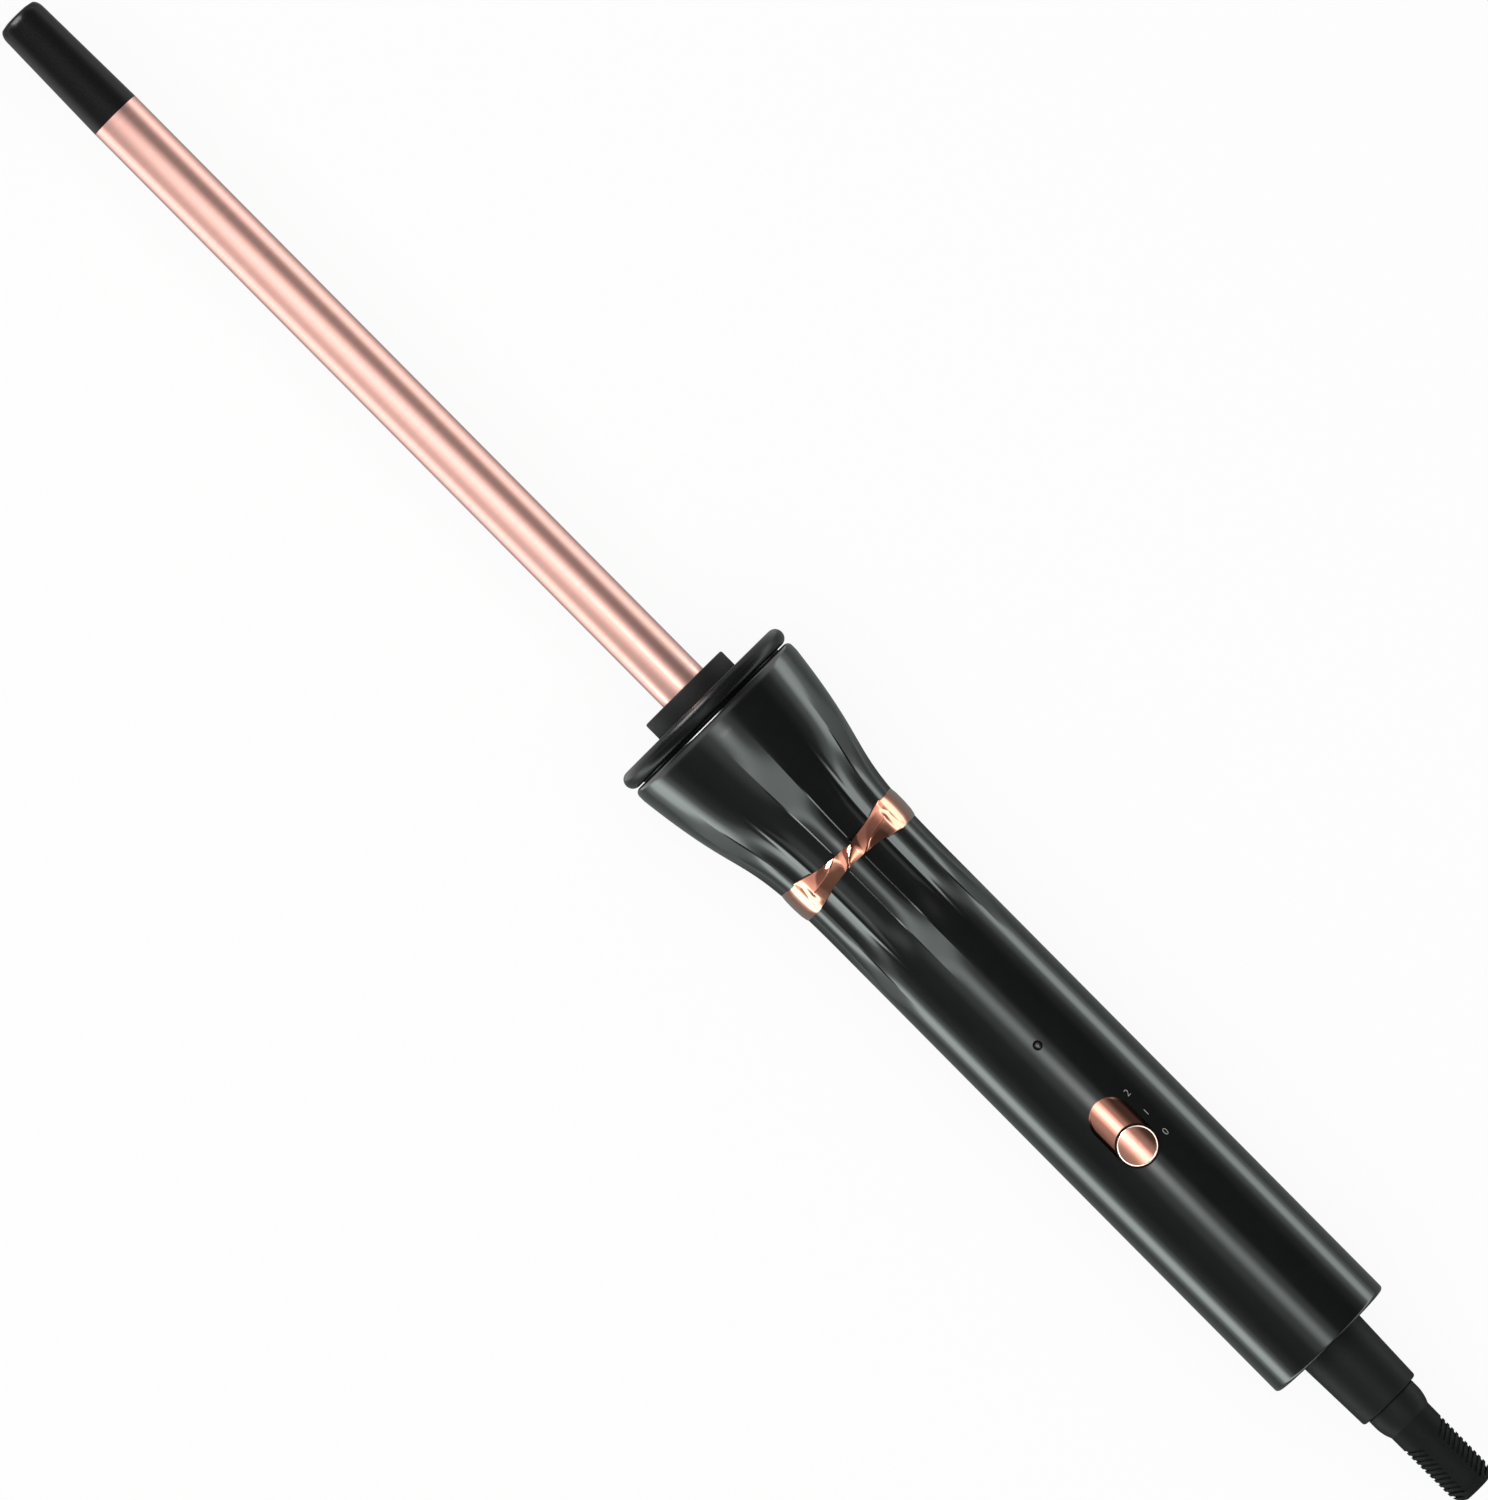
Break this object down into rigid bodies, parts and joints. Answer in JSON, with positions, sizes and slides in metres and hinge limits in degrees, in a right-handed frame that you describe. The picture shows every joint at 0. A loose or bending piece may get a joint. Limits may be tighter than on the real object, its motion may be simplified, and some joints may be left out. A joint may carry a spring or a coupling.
{
  "type": "curling iron",
  "caption": "Slim clampless curling wand with a cool tip, round guard disc, pleated horn-shaped handle, sliding heat switch and a cord swivel at the tail.",
  "frame": {"origin": "on the axis of the wand, at the front face of the collar where the bare barrel begins", "axes": "+X along the barrel towards the cool tip, +Z out of the side with the heat switch, +Y across the handle"},
  "size_m": [0.3521, 0.0372, 0.0372],
  "materials": {
    "black_gloss": "polished piano black",
    "black_satin": "fine satin black",
    "heatproof_brown": "matt heat-proof moulding",
    "rose_barrel": "rose-gold coating, polished",
    "rose_plating": "rose-gold plating, polished",
    "bar_aluminium": "extruded, plain",
    "ceramic": "fired white ceramic",
    "steel": "zinc plated",
    "spring_brass": "plain brass",
    "board_green": "solder mask",
    "switch_grey": "moulded",
    "lens_dark": "dark window",
    "led_red": "tinted epoxy",
    "resistor_tan": "lacquered",
    "diode_black": "moulded epoxy",
    "lead_white": "silicone sleeve",
    "boot_rubber": "matt rubber"
  },
  "bodies": {
    "handle": {"cool_tip": "black_satin", "barrel": "rose_barrel", "heater_plate": "ceramic", "upper_heat_spreader": "bar_aluminium", "lower_heat_spreader": "bar_aluminium", "barrel_collar": "black_satin", "guard_disc": "black_satin", "barrel_holder": "heatproof_brown", "clamp_plate": "steel", "clamp_screws": "steel", "upper_shell": "black_gloss", "lower_shell": "black_gloss", "shell_screws": "steel", "twist_band": "rose_plating", "switch_body": "switch_grey", "control_board": "board_green", "board_screws": "steel", "led_lens": "lens_dark", "indicator_led": "led_red", "led_resistor": "resistor_tan", "power_diode": "diode_black", "thermal_fuse": "steel", "heater_leads": "lead_white", "swivel_sleeve": "black_satin", "brush_holder": "heatproof_brown", "brush_contacts": "spring_brass", "supply_leads": "lead_white"},
    "slider": {"switch_knob": "rose_plating", "slider_plate": "rose_plating", "switch_actuator": "switch_grey"},
    "swivel": {"swivel_core": "black_satin", "front_slip_ring": "spring_brass", "rear_slip_ring": "spring_brass", "retaining_clip": "steel", "cord_boot": "boot_rubber"}
  },
  "joints": [
    {"name": "heat_switch", "type": "slide", "parent": "handle", "child": "slider", "axis": [1, 0, 0], "range_m": [0, 0.0062]},
    {"name": "cord_swivel", "type": "hinge", "parent": "handle", "child": "swivel", "pos_m": [-0.16, 0, 0], "axis": [1, 0, 0], "continuous": true}
  ]
}
